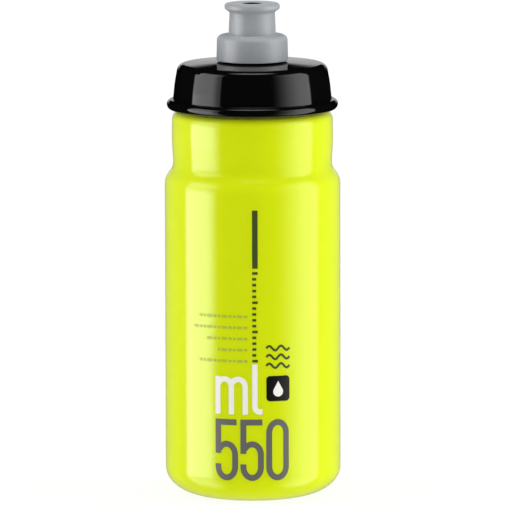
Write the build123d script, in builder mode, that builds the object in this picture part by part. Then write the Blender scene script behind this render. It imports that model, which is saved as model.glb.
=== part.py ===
"""Squeeze bottle for a bicycle cage: a blow-moulded body, a screw cap and a push-pull drinking valve.

The frame stands on the bottle's base: the origin is the centre of the base ring, +Z runs up the
bottle's axis and -Y is the printed side. All sizes are in millimetres.
"""

import os

from build123d import *

# ---------------------------------------------------------------- bottle body
body_radius = 37.0  # the 74 mm that bottle cages are made for
wall = 1.0
base_corner_width = 16.0  # the base edge is a quarter ellipse
base_corner_height = 11.5
base_ring_width = 3.5  # flat ring that the bottle stands on
punt_depth = 3.2  # the middle of the base is domed up by this much
shoulder_z = 134.3  # where the barrel turns in towards the waist
shoulder_round = 7.5
waist_radius = 33.33
waist_z = 139.3
waist_round = 5.0
waist_drop = 0.3  # how far the cavity's shoulder and waist lie below the outside's, as a share of the wall
band_radius = 34.0  # widest place of the band between the waist and the ledge
band_z = 151.0
band_round = 60.0
ledge_radius = 33.75
ledge_z = 163.0  # flat ledge under the cap's lip
ledge_round = 4.0
neck_radius = 28.9
neck_foot_round = 0.8
neck_wall = 1.7
lip_z = 178.2
lip_round = 0.5

# ---------------------------------------------------------------- screw thread
thread_pitch = 5.0
thread_depth = 1.3
thread_root_width = 2.4
thread_crest_width = 1.2
thread_embed = 0.4  # how far a thread runs into its wall
neck_thread_z = 167.6
neck_thread_turns = 1.5
cap_thread_turns = 1.25
cap_bore = 30.6
flank_gap = 0.2  # between the flanks that carry the load

# ---------------------------------------------------------------- cap
cap_bottom_z = 163.4
grip_radius = 36.0  # grip lip round the bottom of the cap
grip_height = 4.1
grip_under_round = 2.1
grip_top_round = 1.95
cap_foot_radius = 33.4  # side wall, just above the grip lip
cap_foot_round = 0.35
cap_knee_radius = 32.7  # side wall, where it starts to lean in more
cap_knee_z = 174.5
cap_knee_round = 60.0
cap_shoulder_radius = 31.25  # side wall, where it would meet the top
cap_shoulder_round = 3.2
cap_edge_z = 182.4  # top surface, at the shoulder
cap_crown_z = 183.55  # top surface, next to the valve
gasket_seat_z = 180.2
rib_radius = 25.6  # rib that keeps the cap gasket in place
rib_wall = 1.0
rib_drop = 1.4
gasket_play = 0.1
gasket_width = 4.6

# ---------------------------------------------------------------- valve stem
stem_radius = 10.8
stem_bore = 8.9
stem_top_z = 193.2
stem_seat_z = 181.4
stem_seat_radius = 16.5
stem_gasket_radius = 15.0
stem_gasket_thickness = 1.5
stem_flange_radius = 15.5
stem_flange = 1.5
snap_bead_z = 183.85  # bead that holds the stem in the cap
snap_bead_height = 0.55
stop_bead_z = 190.3  # bead that stops the nozzle at the top of its travel, and holds the O-ring
stop_bead_height = 0.6
bead_rise = 0.35
seal_cord = 1.4  # O-ring
seal_play = 0.1
spoke_count = 3
spoke_width = 1.8
spoke_z = 186.0
spoke_height = 2.6
spoke_embed = 0.35  # how far a spoke runs into the stem
pin_radius = 2.4
plug_radius = 3.4
plug_foot_z = 201.9
plug_z = 203.4
plug_top_z = 206.9
plug_round = 1.2

# ---------------------------------------------------------------- nozzle
slide_gap = 0.1  # core lip on the stem
seal_gap = 0.05  # O-ring in the core
core_bottom_z = 184.5
core_lip = 0.7
core_bore = 11.3
core_radius = 13.0
core_roof_z = 193.45
core_roof = 0.95
throat_bore = 6.4
throat_radius = 7.4
core_top_z = 204.6
mouth_roof = 1.0
mouth_bore = 3.5  # hole that the plug closes
mouth_radius = 4.2  # core round that hole
mouth_top_z = 207.7
skirt_bottom_z = 183.9
skirt_radius = 15.08
skirt_top_radius = 14.8
skirt_top_z = 194.75
skirt_round = 2.3
spout_foot_radius = 9.95
spout_neck_radius = 9.55
bite_radius = 11.6  # rim that the teeth pull on
bite_under_z = 204.25
bite_edge_z = 205.75
bite_under_round = 0.8
bite_round = 1.15
mouth_round = 0.3
nozzle_top_z = 208.0
small_round = 0.4


def save(part, label):
    """Labels a finished piece and writes its STEP file."""
    part.label = label
    export_step(part, f"parts/{label}.step")


def section_plane(height):
    """The XZ plane with its origin raised to that height."""
    return Plane((0, 0, height), x_dir=(1, 0, 0), z_dir=(0, -1, 0))


def body_outline(inset, neck, top):
    """Half section of the body's outside (inset 0) or of its cavity (inset = wall), as a closed line."""
    ring_outer = body_radius - base_corner_width
    ring_inner = ring_outer - base_ring_width
    FilletPolyline(
        (body_radius - inset, base_corner_height),
        (body_radius - inset, shoulder_z - waist_drop * inset),
        (waist_radius - inset, waist_z - waist_drop * inset),
        (band_radius - inset, band_z),
        (ledge_radius - inset, ledge_z - inset),
        (neck, ledge_z - inset),
        (neck, top),
        radius=[
            shoulder_round - inset,
            waist_round + inset,
            band_round,
            ledge_round - inset / 2,
            neck_foot_round + inset / 2,
        ],
    )
    Line((neck, top), (0, top))
    Line((0, top), (0, punt_depth + inset))
    Spline((0, punt_depth + inset), (ring_inner, inset), tangents=[(1, 0), (1, 0)])
    Line((ring_inner, inset), (ring_outer, inset))
    EllipticalCenterArc(
        (ring_outer, base_corner_height),
        base_corner_width - inset,
        base_corner_height - inset,
        start_angle=270,
        arc_size=90,
    )


def thread_section(radius, depth):
    """Trapezoid of a thread on a wall of that radius; a negative depth faces inwards."""
    root = radius - thread_embed if depth > 0 else radius + thread_embed
    root_half_width = thread_root_width / 2 + flank_run * thread_embed
    Polyline(
        (root, -root_half_width),
        (radius + depth, -thread_crest_width / 2),
        (radius + depth, thread_crest_width / 2),
        (root, root_half_width),
        close=True,
    )


def ring_section(inner, outer, low, high):
    """Rectangle that is the half section of a plain ring."""
    Polyline((inner, low), (outer, low), (outer, high), (inner, high), close=True)


os.makedirs("parts", exist_ok=True)
flank_run = (thread_root_width - thread_crest_width) / 2 / thread_depth

# The body: its outside, less its cavity, plus the thread on its neck. Sections are revolved from the
# YZ plane and threads start on the XZ plane, so that no thread starts on a revolved seam.
with BuildPart() as bottle_body:
    with BuildSketch(Plane.YZ):
        with BuildLine():
            body_outline(0, neck_radius, lip_z)
        make_face()
    revolve(axis=Axis.Z)
    with BuildSketch(Plane.YZ):
        with BuildLine():
            body_outline(wall, neck_radius - neck_wall, lip_z)
        make_face()
    revolve(axis=Axis.Z, mode=Mode.SUBTRACT)
    fillet(bottle_body.edges().group_by(Axis.Z)[-1], lip_round)
    with BuildSketch(section_plane(neck_thread_z)):
        with BuildLine():
            thread_section(neck_radius, thread_depth)
        make_face()
    neck_helix = Helix(
        thread_pitch,
        thread_pitch * neck_thread_turns,
        neck_radius,
        center=(0, 0, neck_thread_z),
        mode=Mode.PRIVATE,
    )
    sweep(path=neck_helix, is_frenet=True)
save(bottle_body.part, "bottle_body")

# The cap's thread runs under the body's, so that turning the cap clockwise draws it down.
shared_depth = cap_bore - neck_radius
thread_offset = thread_root_width - flank_run * shared_depth + flank_gap
cap_thread_z = neck_thread_z - thread_offset

with BuildPart() as screw_cap:
    with BuildSketch(Plane.YZ):
        with BuildLine():
            FilletPolyline(
                (cap_bore, cap_bottom_z),
                (grip_radius, cap_bottom_z),
                (grip_radius, cap_bottom_z + grip_height),
                (cap_foot_radius, cap_bottom_z + grip_height),
                (cap_knee_radius, cap_knee_z),
                (cap_shoulder_radius, cap_edge_z),
                (stem_radius, cap_crown_z),
                radius=[grip_under_round, grip_top_round, cap_foot_round, cap_knee_round, cap_shoulder_round],
            )
            Polyline(
                (stem_radius, cap_crown_z),
                (stem_radius, stem_seat_z),
                (stem_seat_radius, stem_seat_z),
                (rib_radius - rib_wall, gasket_seat_z),
                (rib_radius - rib_wall, gasket_seat_z - rib_drop),
                (rib_radius, gasket_seat_z - rib_drop),
                (rib_radius, gasket_seat_z),
                (cap_bore, gasket_seat_z),
                (cap_bore, cap_bottom_z),
            )
        make_face()
    revolve(axis=Axis.Z)
    with BuildSketch(section_plane(cap_thread_z)):
        with BuildLine():
            thread_section(cap_bore, -thread_depth)
        make_face()
    cap_helix = Helix(
        thread_pitch,
        thread_pitch * cap_thread_turns,
        cap_bore,
        center=(0, 0, cap_thread_z),
        mode=Mode.PRIVATE,
    )
    sweep(path=cap_helix, is_frenet=True)
save(screw_cap.part, "screw_cap")

with BuildPart() as cap_gasket:
    with BuildSketch(Plane.YZ):
        with BuildLine():
            gasket_inner = rib_radius + gasket_play
            ring_section(gasket_inner, gasket_inner + gasket_width, lip_z, gasket_seat_z)
        make_face()
    revolve(axis=Axis.Z)
save(cap_gasket.part, "cap_gasket")

# The stem snaps into the cap from below. Its pin plugs the core's mouth when the nozzle is pushed down.
stem_flange_top_z = stem_seat_z - stem_gasket_thickness
seal_groove_z = stop_bead_z + stop_bead_height
seal_groove_width = seal_cord + 2 * seal_play
seal_reach = core_bore - seal_gap  # outer radius of the O-ring
seal_groove_radius = seal_reach - seal_cord

with BuildPart() as valve_stem:
    with BuildSketch(Plane.YZ):
        with BuildLine():
            ring_section(stem_bore, stem_radius, stem_flange_top_z, stem_top_z)
        make_face()
        with BuildLine():
            ring_section(stem_bore, stem_flange_radius, stem_flange_top_z - stem_flange, stem_flange_top_z)
        make_face()
        with BuildLine():
            ring_section(stem_bore, stem_radius + bead_rise, snap_bead_z, snap_bead_z + snap_bead_height)
        make_face()
        with BuildLine():
            ring_section(stem_bore, stem_radius + bead_rise, stop_bead_z, stem_top_z)
        make_face()
        with BuildLine():
            ring_section(
                seal_groove_radius, stem_radius + 2 * bead_rise, seal_groove_z, seal_groove_z + seal_groove_width
            )
        make_face(mode=Mode.SUBTRACT)
    revolve(axis=Axis.Z)
    with BuildSketch(Plane.YZ):
        with BuildLine():
            FilletPolyline(
                (0, spoke_z),
                (pin_radius, spoke_z),
                (pin_radius, plug_foot_z),
                (plug_radius, plug_z),
                (plug_radius, plug_top_z),
                (0, plug_top_z),
                radius=[small_round, small_round, small_round, plug_round],
            )
            Line((0, plug_top_z), (0, spoke_z))
        make_face()
    revolve(axis=Axis.Z)
    with BuildSketch(Plane.XY.offset(spoke_z)):
        with PolarLocations(0, spoke_count):
            Rectangle(stem_bore + spoke_embed, spoke_width, align=(Align.MIN, Align.CENTER))
    extrude(amount=spoke_height)
save(valve_stem.part, "valve_stem")

with BuildPart() as stem_gasket:
    with BuildSketch(Plane.YZ):
        with BuildLine():
            ring_section(stem_radius + gasket_play, stem_gasket_radius, stem_flange_top_z, stem_seat_z)
        make_face()
    revolve(axis=Axis.Z)
save(stem_gasket.part, "stem_gasket")

with BuildPart() as stem_seal_ring:
    with BuildSketch(Plane.YZ):
        with Locations((seal_reach - seal_cord / 2, seal_groove_z + seal_groove_width / 2)):
            Circle(seal_cord / 2)
    revolve(axis=Axis.Z)
save(stem_seal_ring.part, "stem_seal_ring")

# The nozzle: a stiff core that slides on the stem, inside a soft mouthpiece.
with BuildPart() as nozzle_core:
    with BuildSketch(Plane.YZ):
        with BuildLine():
            Polyline(
                (stem_radius + slide_gap, core_bottom_z),
                (core_radius, core_bottom_z),
                (core_radius, core_roof_z + core_roof),
                (throat_radius, core_roof_z + core_roof),
                (throat_radius, core_top_z),
                (mouth_radius, core_top_z),
                (mouth_radius, mouth_top_z),
                (mouth_bore, mouth_top_z),
                (mouth_bore, core_top_z - mouth_roof),
                (throat_bore, core_top_z - mouth_roof),
                (throat_bore, core_roof_z),
                (core_bore, core_roof_z),
                (core_bore, core_bottom_z + core_lip),
                (stem_radius + slide_gap, core_bottom_z + core_lip),
                close=True,
            )
        make_face()
    revolve(axis=Axis.Z)
save(nozzle_core.part, "nozzle_core")

with BuildPart() as mouthpiece:
    with BuildSketch(Plane.YZ):
        with BuildLine():
            FilletPolyline(
                (core_radius, skirt_bottom_z),
                (skirt_radius, skirt_bottom_z),
                (skirt_top_radius, skirt_top_z),
                (spout_foot_radius, skirt_top_z),
                (spout_neck_radius, bite_under_z),
                (bite_radius, bite_edge_z),
                (bite_radius, nozzle_top_z),
                (mouth_radius, nozzle_top_z),
                (mouth_radius, core_top_z),
                radius=[
                    small_round,
                    skirt_round,
                    small_round,
                    bite_under_round,
                    bite_under_round,
                    bite_round,
                    mouth_round,
                ],
            )
            Polyline(
                (mouth_radius, core_top_z),
                (throat_radius, core_top_z),
                (throat_radius, core_roof_z + core_roof),
                (core_radius, core_roof_z + core_roof),
                (core_radius, skirt_bottom_z),
            )
        make_face()
    revolve(axis=Axis.Z)
save(mouthpiece.part, "mouthpiece")
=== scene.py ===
"""Studio scene of a bicycle squeeze bottle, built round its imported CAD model.

Lengths are in metres, in the CAD model's own frame: the origin is the centre of the base, +Z is up and
-Y is the printed side, which faces the camera. Angles are in degrees unless a name says otherwise.
"""

import math

import bmesh
import bpy
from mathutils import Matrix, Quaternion, Vector
from mathutils.geometry import delaunay_2d_cdt


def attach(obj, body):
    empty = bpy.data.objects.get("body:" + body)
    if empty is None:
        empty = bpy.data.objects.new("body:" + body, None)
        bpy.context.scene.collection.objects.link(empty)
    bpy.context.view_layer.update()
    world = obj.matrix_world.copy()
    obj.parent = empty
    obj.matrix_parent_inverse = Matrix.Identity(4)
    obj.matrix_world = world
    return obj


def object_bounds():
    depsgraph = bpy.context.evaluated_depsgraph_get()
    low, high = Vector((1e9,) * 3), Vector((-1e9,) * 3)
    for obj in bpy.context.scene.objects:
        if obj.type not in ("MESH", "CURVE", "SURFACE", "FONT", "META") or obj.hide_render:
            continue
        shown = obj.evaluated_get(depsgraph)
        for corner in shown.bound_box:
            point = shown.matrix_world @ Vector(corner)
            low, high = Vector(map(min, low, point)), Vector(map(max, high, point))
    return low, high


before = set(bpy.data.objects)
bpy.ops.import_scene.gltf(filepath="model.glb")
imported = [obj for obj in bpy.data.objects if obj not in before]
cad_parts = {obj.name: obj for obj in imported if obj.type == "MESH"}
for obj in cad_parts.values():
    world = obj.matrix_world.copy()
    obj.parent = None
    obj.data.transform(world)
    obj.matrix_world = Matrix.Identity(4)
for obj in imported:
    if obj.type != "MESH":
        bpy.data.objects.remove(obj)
cad_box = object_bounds()
cad_low, cad_high = cad_box
MM = 0.001

# ---------------------------------------------------------------- camera
CAMERA_DISTANCE = 2.9
CAMERA_ELEVATION = 8.0
CAMERA_ROLL = -0.13  # the bottle leans a little to the left
CAMERA_LENS = 490.0  # with Blender's 36 mm sensor
CAMERA_SHIFT = -0.0004
AIM_HEIGHT = 0.4915 * cad_high.z

# ---------------------------------------------------------------- print on the barrel, in millimetres
# A place on the print is (arc, height): arc runs to the right round the barrel from its front line.
BARREL_RADIUS = (cad_high.x - cad_low.x) / 2 / MM
INK_DEPTH = 0.10  # how far the ink's layer reaches into the wall
INK_RISE = 0.04
WRAP_STEP = 0.7  # widest stretch of print that stays flat when it is wrapped
PRINT_LEFT = -16.2
FIGURE_LOW = 10.9
FIGURE_HEIGHT = 26.0
FIGURE_WIDTH = 9.85
FIGURE_STEP = 10.85
FIGURE_STROKE = 2.5
FIGURE_CURVE = 1.25  # how much taller than wide the rounded ends of the figures are
FIVE_STEM = 0.56  # share of the height that the 5's stem takes
FIVE_BOWL_DROP = 0.355  # share of the height from the top down to the 5's bowl
FIVE_HOOK = 0.27  # share of the height at which the 5's lower end stops
UNIT_LOW = 39.0
UNIT_X_HEIGHT = 16.0
UNIT_HEIGHT = 21.2
UNIT_STEP = 5.9  # from one stem of the m to the next
UNIT_STROKE = 2.25
UNIT_CURVE = 1.1  # how much taller than wide the m's arches are
UNIT_GAP = 1.8  # from the m's last stem to the l, in strokes
UNIT_FOOT = 0.95  # radius of the l's foot, in strokes
SCALE_LEFT = -0.25  # the bar, and the scale below it
SCALE_WIDTH = 2.3
BAR_LOW = 100.6
BAR_HIGH = 125.0
SCALE_LOW = 61.6
SCALE_HIGH = 98.6
SCALE_TICKS = 16
TICKS_PER_LONG_ONE = 5
SHORT_TICK = 0.72  # share of the scale's width
TICK_THICKNESS = 1.1
RULE_RIGHT = -2.3
RULE_TOP = 80.3
RULE_STEP = 4.7
RULE_LENGTHS = (21.0, 24.5, 17.5, 12.5, 21.5)
RULE_THICKNESS = 1.1
RULE_DASHES = (1.5, 2.4, 1.1)
RULE_GAP = 0.55
BADGE_LEFT = 5.6
BADGE_WIDTH = 10.1
BADGE_LOW = 44.5
BADGE_HEIGHT = 10.7
BADGE_CORNER = 1.6
DROP_MIDDLE = 0.38  # height of the drop's round part, as a share of the badge
DROP_RADIUS = 0.2  # share of the badge's height
DROP_POINT = 2.1  # from the middle up to the point, in radii
WAVE_ROWS = 3
WAVE_CRESTS = 2
WAVE_LOW = 58.1
WAVE_STEP = 3.7
WAVE_RISE = 0.95
WAVE_STROKE = 0.95


def smooth_step_nodes(nodes, value, low, high):
    """Node that rises smoothly from 0 at low to 1 at high."""
    return nodes.add(
        "ShaderNodeMapRange",
        {"Value": value, "From Min": low, "From Max": high},
        interpolation_type="SMOOTHSTEP",
    ).outputs["Result"]


class Nodes:
    """Short calls for building one node tree."""

    def __init__(self, tree):
        self.tree = tree
        tree.nodes.clear()

    def add(self, kind, inputs=None, **settings):
        """A new node with these settings; each input takes a socket or a plain value."""
        node = self.tree.nodes.new(kind)
        for name, value in settings.items():
            setattr(node, name, value)
        for name, value in (inputs or {}).items():
            self.put(node.inputs[name], value)
        return node

    def put(self, socket, value):
        if isinstance(value, bpy.types.NodeSocket):
            self.tree.links.new(value, socket)
        else:
            socket.default_value = value

    def math(self, operation, *values):
        """The result socket of a Math node."""
        return self.add("ShaderNodeMath", dict(enumerate(values)), operation=operation).outputs[0]

    def product(self, *values):
        result = values[0]
        for value in values[1:]:
            result = self.math("MULTIPLY", result, value)
        return result

    def total(self, *values):
        result = values[0]
        for value in values[1:]:
            result = self.math("ADD", result, value)
        return result

    def mix_shaders(self, share, first, second):
        """The first shader where share is 0, and the second where it is 1."""
        inputs = {"Fac": share, 1: first.outputs[0], 2: second.outputs[0]}
        return self.add("ShaderNodeMixShader", inputs)


# ---------------------------------------------------------------- studio
def softbox(nodes, azimuth, elevation, left, right, low, high, side_soft, end_soft=(8.0, 8.0)):
    """1 inside a lit rectangle of the sky and 0 outside; each edge is soft by its angle to either side."""

    def past(value, edge, soft):
        return smooth_step_nodes(nodes, value, edge - soft, edge + soft)

    return nodes.product(
        past(azimuth, left, side_soft[0]),
        nodes.math("SUBTRACT", 1.0, past(azimuth, right, side_soft[1])),
        past(elevation, low, end_soft[0]),
        nodes.math("SUBTRACT", 1.0, past(elevation, high, end_soft[1])),
    )


def make_world():
    """The studio round the bottle, which the camera sees as plain white.

    Reflections show tall softboxes at both sides, one overhead and a low white backdrop. Scattered light
    comes from broad glows at both sides, the box overhead and an even fill.
    """
    world = bpy.data.worlds.new("studio")
    world.use_nodes = True
    bpy.context.scene.world = world
    nodes = Nodes(world.node_tree)
    direction = nodes.add("ShaderNodeTexCoord").outputs["Generated"]
    xyz = nodes.add("ShaderNodeSeparateXYZ", {"Vector": direction})
    towards_camera = nodes.math("MULTIPLY", xyz.outputs["Y"], -1.0)
    azimuth = nodes.math("DEGREES", nodes.math("ARCTAN2", xyz.outputs["X"], towards_camera))
    off_axis = nodes.math("ABSOLUTE", azimuth)
    elevation = nodes.math("DEGREES", nodes.math("ARCSINE", xyz.outputs["Z"]))

    side_low, side_high = -52.0, 40.0
    side_ends = (15.0, 8.0)
    left_rim = softbox(nodes, azimuth, elevation, -98.0, -48.0, side_low, side_high, (1.0, 1.5), side_ends)
    left_box = softbox(nodes, azimuth, elevation, -98.0, -57.0, side_low, side_high, (1.0, 7.0), side_ends)
    left_core = softbox(nodes, azimuth, elevation, -98.0, -54.0, -14.0, -1.0, (1.0, 6.0), (5.0, 5.0))
    right_box = softbox(nodes, azimuth, elevation, 54.0, 95.0, side_low, side_high, (26.0, 2.0), side_ends)
    top_box = softbox(nodes, off_axis, elevation, -20.0, 75.0, 68.0, 86.0, (2.0, 12.0), (4.0, 3.0))
    backdrop = softbox(nodes, off_axis, elevation, 163.0, 190.0, 0.0, 9.0, (7.0, 2.0), (1.5, 1.5))
    boxes = nodes.total(
        nodes.product(left_rim, 0.9),
        nodes.product(left_box, 1.75),
        nodes.product(left_core, 2.8),
        nodes.product(right_box, 2.4),
        nodes.product(top_box, 3.0),
        nodes.product(backdrop, 0.65),
    )
    glow_reach = 60.0
    glow_soft = (12.0, 12.0)
    left_glow = softbox(nodes, azimuth, elevation, -128.0, -72.0, -glow_reach, glow_reach, glow_soft)
    right_glow = softbox(nodes, azimuth, elevation, 60.0, 118.0, -glow_reach, glow_reach, glow_soft)
    fill = 0.94
    ambience = nodes.total(
        nodes.product(left_glow, 1.15),
        nodes.product(right_glow, 1.5),
        top_box,
        fill,
    )
    path = nodes.add("ShaderNodeLightPath")
    reflected = nodes.add("ShaderNodeBackground", {"Strength": boxes})
    scattered = nodes.add("ShaderNodeBackground", {"Strength": ambience})
    seen = nodes.add("ShaderNodeBackground", {"Color": (1, 1, 1, 1), "Strength": 1.0})
    for background in (reflected, scattered):
        background.inputs["Color"].default_value = (1, 1, 1, 1)
    lit = nodes.mix_shaders(path.outputs["Is Glossy Ray"], scattered, reflected)
    shown = nodes.mix_shaders(path.outputs["Is Camera Ray"], lit, seen)
    nodes.add("ShaderNodeOutputWorld", {"Surface": shown.outputs[0]})


def make_floor():
    """A white table, lit so that it meets the white backdrop without a line."""
    just_below = -0.02 * MM
    bpy.ops.mesh.primitive_plane_add(size=20.0, location=(0, 0, just_below))
    floor = bpy.context.object
    floor.name = "floor"
    material = bpy.data.materials.new("floor_white")
    material.use_nodes = True
    nodes = Nodes(material.node_tree)
    glow = nodes.add("ShaderNodeEmission", {"Color": (1, 1, 1, 1), "Strength": 1.0})
    matte = nodes.add("ShaderNodeBsdfDiffuse", {"Color": (0.9, 0.9, 0.9, 1)})
    mix = nodes.mix_shaders(0.12, glow, matte)
    nodes.add("ShaderNodeOutputMaterial", {"Surface": mix.outputs[0]})
    floor.data.materials.append(material)
    floor.visible_glossy = False
    floor.visible_diffuse = False
    floor.visible_transmission = False
    floor.visible_shadow = False


def make_camera():
    elevation = math.radians(CAMERA_ELEVATION)
    data = bpy.data.cameras.new("camera")
    data.lens = CAMERA_LENS
    data.shift_x = CAMERA_SHIFT
    camera = bpy.data.objects.new("camera", data)
    bpy.context.scene.collection.objects.link(camera)
    back = Vector((0, -math.cos(elevation), math.sin(elevation)))
    camera.location = Vector((0, 0, AIM_HEIGHT)) + CAMERA_DISTANCE * back
    roll = Quaternion((0, 0, 1), math.radians(CAMERA_ROLL))
    camera.rotation_euler = ((-back).to_track_quat("-Z", "Y") @ roll).to_euler()
    data.clip_start = 0.1
    data.clip_end = 50.0
    bpy.context.scene.camera = camera


# ---------------------------------------------------------------- materials
def new_material(name, **values):
    """A Principled material with those socket values; returns the material, its nodes and the shader."""
    material = bpy.data.materials.new(name)
    material.use_nodes = True
    nodes = Nodes(material.node_tree)
    shader = nodes.add("ShaderNodeBsdfPrincipled")
    for key, value in values.items():
        shader.inputs[key.replace("_", " ")].default_value = value
    nodes.add("ShaderNodeOutputMaterial", {"Surface": shader.outputs[0]})
    return material, nodes, shader


def noise(nodes, scale, detail=2.0, stretch=(1, 1, 1)):
    """Noise in the piece's own coordinates, in the frame's metres."""
    point = nodes.add("ShaderNodeTexCoord").outputs["Object"]
    mapping = nodes.add("ShaderNodeMapping", {"Vector": point, "Scale": stretch})
    return nodes.add(
        "ShaderNodeTexNoise", {"Vector": mapping.outputs[0], "Scale": scale, "Detail": detail}
    ).outputs["Fac"]


def spread(nodes, value, low, high):
    """That 0 to 1 value spread from low to high."""
    return nodes.add("ShaderNodeMapRange", {"Value": value, "To Min": low, "To Max": high}).outputs["Result"]


def bump(nodes, shader, height, distance):
    node = nodes.add("ShaderNodeBump", {"Height": height, "Distance": distance, "Strength": 1.0})
    nodes.put(shader.inputs["Normal"], node.outputs[0])


def body_plastic():
    """Fluorescent yellow-green squeeze plastic: faintly cloudy, glossy, with blow-moulding's long ripples."""
    material, nodes, shader = new_material(
        "body_plastic",
        IOR=1.5,
        Subsurface_Weight=0.5,
        Subsurface_Radius=(0.006, 0.006, 0.001),
        Subsurface_Scale=1.0,
        Sheen_Weight=0.35,
        Sheen_Roughness=0.38,
    )
    cloud = noise(nodes, 60.0, 3.0, (1, 1, 0.4))
    colour = nodes.add(
        "ShaderNodeMix",
        {"Factor": cloud, 6: (0.66, 0.84, 0.0, 1), 7: (0.70, 0.86, 0.0, 1)},
        data_type="RGBA",
    )
    nodes.put(shader.inputs["Base Color"], colour.outputs[2])
    nodes.put(shader.inputs["Roughness"], spread(nodes, noise(nodes, 400.0), 0.10, 0.16))
    ripple = noise(nodes, 28.0, 1.0, (1, 1, 0.25))
    bump(nodes, shader, ripple, 0.15 * MM)
    return material


def cap_plastic():
    """High-gloss black, with a moulded surface's very slight waviness."""
    material, nodes, shader = new_material("cap_plastic", Base_Color=(0.002, 0.002, 0.002, 1), IOR=1.49)
    nodes.put(shader.inputs["Roughness"], spread(nodes, noise(nodes, 300.0, 3.0), 0.02, 0.07))
    bump(nodes, shader, noise(nodes, 90.0, 1.0), 0.02 * MM)
    return material


def mouthpiece_soft():
    """Soft grey elastomer with a fine, spark-eroded grain."""
    material, nodes, shader = new_material(
        "mouthpiece_soft",
        Roughness=0.38,
        IOR=1.6,
        Sheen_Weight=0.15,
        Sheen_Roughness=0.4,
        Subsurface_Weight=0.2,
        Subsurface_Radius=(0.001, 0.001, 0.001),
        Subsurface_Scale=1.0,
    )
    cloud = noise(nodes, 500.0, 3.0)
    colour = nodes.add(
        "ShaderNodeMix",
        {"Factor": cloud, 6: (0.29, 0.305, 0.32, 1), 7: (0.33, 0.345, 0.36, 1)},
        data_type="RGBA",
    )
    nodes.put(shader.inputs["Base Color"], colour.outputs[2])
    bump(nodes, shader, noise(nodes, 6000.0, 2.0), 0.02 * MM)
    return material


def plain_plastic(name, colour, roughness):
    """A satin moulded plastic or rubber with a fine grain."""
    material, nodes, shader = new_material(name, Base_Color=(*colour, 1), IOR=1.47)
    wear = noise(nodes, 900.0)
    nodes.put(shader.inputs["Roughness"], spread(nodes, wear, roughness - 0.05, roughness + 0.05))
    bump(nodes, shader, noise(nodes, 5000.0, 2.0), 0.01 * MM)
    return material


def ink(name, colour, roughness=0.35):
    """Screen-printed ink: satin, with the faint mottling of a squeegeed film."""
    material, nodes, shader = new_material(name, IOR=1.5)
    dark = tuple(0.92 * channel for channel in colour)
    film = nodes.add(
        "ShaderNodeMix",
        {"Factor": noise(nodes, 700.0, 4.0), 6: (*dark, 1), 7: (*colour, 1)},
        data_type="RGBA",
    )
    nodes.put(shader.inputs["Base Color"], film.outputs[2])
    mottling = noise(nodes, 2500.0, 3.0)
    nodes.put(shader.inputs["Roughness"], spread(nodes, mottling, roughness - 0.06, roughness + 0.06))
    return material


# ---------------------------------------------------------------- print
def ellipse(centre, half_width, half_height, start, end, steps=16):
    """Points along an ellipse's arc, between two angles."""
    return [
        (
            centre[0] + half_width * math.cos(math.radians(start + (end - start) * step / steps)),
            centre[1] + half_height * math.sin(math.radians(start + (end - start) * step / steps)),
        )
        for step in range(steps + 1)
    ]


def stroke(path, width, closed=False):
    """A line of that width along a path, as one four-sided face for each of its runs."""
    points = [Vector(point) for point in path]
    count = len(points)
    sides = []
    for index, point in enumerate(points):
        before = points[index - 1] if closed or index else None
        after = points[(index + 1) % count] if closed or index < count - 1 else None
        into = (point - before).normalized() if before else (after - point).normalized()
        out = (after - point).normalized() if after else into
        along = (into + out).normalized()
        reach = width / 2 / along.dot(out)
        across = Vector((-along.y, along.x)) * reach
        sides.append((point - across, point + across))
    runs = zip(sides, sides[1:] + sides[:1] if closed else sides[1:])
    return [[start[0], end[0], end[1], start[1]] for start, end in runs]


def rectangle(left, low, width, height):
    """One plain face."""
    right, top = left + width, low + height
    return [[Vector(corner) for corner in ((left, low), (right, low), (right, top), (left, top))]]


def rounded_rectangle(left, low, width, height, corner):
    """One face with four round corners."""
    points = []
    for x, y, start in (
        (left + width - corner, low + height - corner, 0),
        (left + corner, low + height - corner, 90),
        (left + corner, low + corner, 180),
        (left + width - corner, low + corner, 270),
    ):
        points += ellipse((x, y), corner, corner, start, start + 90, 8)
    return [[Vector(point) for point in points]]


def five(left, low):
    """The figure 5: a bar and stem, and the bowl that springs from the stem."""
    half = FIGURE_STROKE / 2
    top = low + FIGURE_HEIGHT
    stem_low = top - FIVE_STEM * FIGURE_HEIGHT
    bar_end = left + FIGURE_WIDTH - half / 2
    bar_and_stem = [(bar_end, top - half), (left + half, top - half), (left + half, stem_low)]
    centre = left + FIGURE_WIDTH / 2
    half_width = FIGURE_WIDTH / 2 - half
    half_height = FIGURE_CURVE * half_width
    bowl_top = top - FIVE_BOWL_DROP * FIGURE_HEIGHT - half
    bowl_end = low + FIVE_HOOK * FIGURE_HEIGHT
    bowl = (
        ellipse((centre, bowl_top - half_height), half_width, half_height, 150, 0)
        + ellipse((centre, low + half + half_height), half_width, half_height, 0, -180)
        + [(left + half, bowl_end)]
    )
    return stroke(bar_and_stem, FIGURE_STROKE) + stroke(bowl, FIGURE_STROKE)


def nought(left, low):
    """The figure 0: a ring with straight sides."""
    half = FIGURE_STROKE / 2
    centre = left + FIGURE_WIDTH / 2
    half_width = FIGURE_WIDTH / 2 - half
    half_height = FIGURE_CURVE * half_width
    path = ellipse((centre, low + FIGURE_HEIGHT - half - half_height), half_width, half_height, 0, 180)
    path += ellipse((centre, low + half + half_height), half_width, half_height, 180, 360)
    return stroke(path, FIGURE_STROKE, closed=True)


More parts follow.
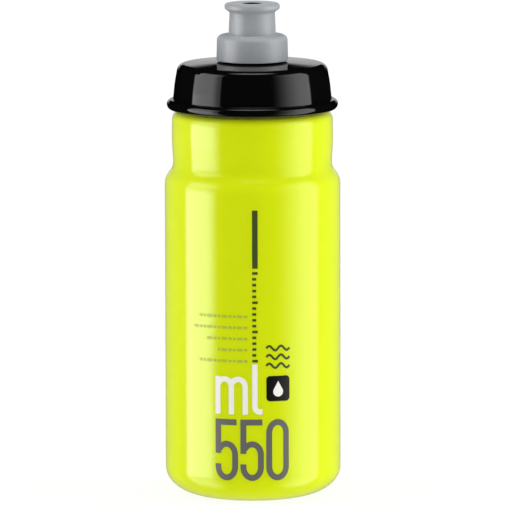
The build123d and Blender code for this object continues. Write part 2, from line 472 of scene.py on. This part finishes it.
def millilitres(left, low):
    """The unit: an m of three stems and two arches, and an l with a curved foot."""
    half = UNIT_STROKE / 2
    half_width = UNIT_STEP / 2
    half_height = UNIT_CURVE * half_width
    spring = low + UNIT_X_HEIGHT - half - half_height
    first = left + half
    faces = rectangle(left, low, UNIT_STROKE, UNIT_X_HEIGHT)
    for stem in (first, first + UNIT_STEP):
        arch = ellipse((stem + half_width, spring), half_width, half_height, 165, 0)
        faces += stroke(arch + [(stem + UNIT_STEP, low)], UNIT_STROKE)
    riser = first + 2 * UNIT_STEP + UNIT_GAP * UNIT_STROKE
    foot = UNIT_FOOT * UNIT_STROKE
    path = [(riser, low + UNIT_HEIGHT)] + ellipse((riser + foot, low + half + foot), foot, foot, 180, 270)
    path += [(riser + 1.5 * foot, low + half)]
    return faces + stroke(path, UNIT_STROKE)


def scale_ticks():
    """A plain level scale under the bar: short ticks, and full-width ones at regular places."""
    step = (SCALE_HIGH - SCALE_LOW) / (SCALE_TICKS - 1)
    faces = []
    for index in range(SCALE_TICKS):
        width = SCALE_WIDTH if index % TICKS_PER_LONG_ONE == 0 else SHORT_TICK * SCALE_WIDTH
        low = SCALE_LOW + index * step - TICK_THICKNESS / 2
        faces += rectangle(SCALE_LEFT, low, width, TICK_THICKNESS)
    return faces


def dashes():
    """Faint dashed rules that end beside the scale."""
    faces = []
    for row, length in enumerate(RULE_LENGTHS):
        low = RULE_TOP - row * RULE_STEP - RULE_THICKNESS / 2
        place = RULE_RIGHT
        index = 0
        while RULE_RIGHT - place < length:
            dash = RULE_DASHES[index % len(RULE_DASHES)]
            faces += rectangle(place - dash, low, dash, RULE_THICKNESS)
            place -= dash + RULE_GAP
            index += 1
    return faces


def waves():
    """Short waves, the plain sign for a liquid."""
    steps = 24
    faces = []
    for row in range(WAVE_ROWS):
        height = WAVE_LOW + WAVE_RISE + WAVE_STROKE / 2 + row * WAVE_STEP
        path = [
            (
                BADGE_LEFT + BADGE_WIDTH * step / steps,
                height + WAVE_RISE * math.sin(2 * math.pi * WAVE_CRESTS * step / steps),
            )
            for step in range(steps + 1)
        ]
        faces += stroke(path, WAVE_STROKE)
    return faces


def drop():
    """A drop that stands in the badge's lower half."""
    centre = (BADGE_LEFT + BADGE_WIDTH / 2, BADGE_LOW + DROP_MIDDLE * BADGE_HEIGHT)
    radius = DROP_RADIUS * BADGE_HEIGHT
    points = ellipse(centre, radius, radius, -215, 35, 24)
    points.append((centre[0], centre[1] + DROP_POINT * radius))
    return [[Vector(point) for point in points]]


def printed(name, faces, material, rise=INK_RISE):
    """A film of ink with these flat faces, merged into one shape and wrapped round the barrel."""
    corners = [corner for face in faces for corner in face]
    numbers = iter(range(len(corners)))
    rings = [[next(numbers) for _ in face] for face in faces]
    low = min(corner.y for corner in corners) - 1
    high = max(corner.y for corner in corners) + 1
    first = math.ceil(min(corner.x for corner in corners) / WRAP_STEP)
    last = math.floor(max(corner.x for corner in corners) / WRAP_STEP)
    folds = []
    for fold in range(first, last + 1):
        folds.append((len(corners), len(corners) + 1))
        corners += [Vector((fold * WRAP_STEP, low)), Vector((fold * WRAP_STEP, high))]
    places, _, triangles, _, _, sources = delaunay_2d_cdt(corners, folds, rings, 0, 0.002, True)
    triangles = [triangle for triangle, source in zip(triangles, sources) if source]

    mesh = bmesh.new()
    layers = []
    for radius in (BARREL_RADIUS - INK_DEPTH, BARREL_RADIUS + rise):
        layer = {}
        for number in {number for triangle in triangles for number in triangle}:
            angle = places[number].x / BARREL_RADIUS
            point = Vector((radius * math.sin(angle), -radius * math.cos(angle), places[number].y))
            layer[number] = mesh.verts.new(point * MM)
        layers.append(layer)
    inner, outer = layers
    for triangle in triangles:
        mesh.faces.new([outer[number] for number in triangle]).smooth = True
        mesh.faces.new([inner[number] for number in reversed(triangle)]).smooth = True
    sides = {side for triangle in triangles for side in zip(triangle, triangle[1:] + triangle[:1])}
    for start, end in sides:
        if (end, start) not in sides:
            mesh.faces.new([inner[start], inner[end], outer[end], outer[start]])
    data = bpy.data.meshes.new(name)
    mesh.to_mesh(data)
    mesh.free()
    data.set_sharp_from_angle(angle=math.radians(30))
    data.materials.append(material)
    piece = bpy.data.objects.new(name, data)
    bpy.context.scene.collection.objects.link(piece)
    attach(piece, "bottle")


def make_print():
    """The bottle's print: the capacity, a level scale, faint rules and two plain signs for a liquid."""
    grey = ink("ink_grey", (0.12, 0.12, 0.11))
    white = ink("ink_white", (0.82, 0.80, 0.76))
    dark = ink("ink_dark", (0.004, 0.0045, 0.003), 0.3)
    olive = ink("ink_olive", (0.045, 0.075, 0.012))
    faint = ink("ink_faint", (0.40, 0.50, 0.02))
    figures = [PRINT_LEFT + index * FIGURE_STEP for index in range(3)]
    printed("capacity_first_figure", five(figures[0], FIGURE_LOW), grey)
    printed("capacity_second_figure", five(figures[1], FIGURE_LOW), grey)
    printed("capacity_third_figure", nought(figures[2], FIGURE_LOW), grey)
    printed("capacity_unit", millilitres(PRINT_LEFT, UNIT_LOW), white)
    printed("scale_bar", rectangle(SCALE_LEFT, BAR_LOW, SCALE_WIDTH, BAR_HIGH - BAR_LOW), olive)
    printed("level_scale", scale_ticks(), olive)
    printed("dashed_rules", dashes(), faint)
    printed("wave_sign", waves(), olive)
    badge = rounded_rectangle(BADGE_LEFT, BADGE_LOW, BADGE_WIDTH, BADGE_HEIGHT, BADGE_CORNER)
    printed("badge", badge, dark)
    printed("badge_drop", drop(), white, rise=2 * INK_RISE)


make_camera()
make_world()
make_floor()
make_print()

finishes = {
    "bottle_body": body_plastic(),
    "screw_cap": cap_plastic(),
    "mouthpiece": mouthpiece_soft(),
    "valve_stem": plain_plastic("stem_plastic", (0.006, 0.006, 0.006), 0.3),
    "nozzle_core": plain_plastic("core_plastic", (0.003, 0.003, 0.003), 0.6),
    "cap_gasket": plain_plastic("seal_silicone", (0.75, 0.76, 0.74), 0.4),
    "stem_gasket": plain_plastic("stem_seal_silicone", (0.75, 0.76, 0.74), 0.4),
    "stem_seal_ring": plain_plastic("seal_rubber", (0.02, 0.02, 0.02), 0.5),
}
for node, finish in finishes.items():
    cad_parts[node].material_slots[0].material = finish

bpy.context.scene.view_settings.view_transform = "Standard"
bpy.context.scene.cycles.use_denoising = True
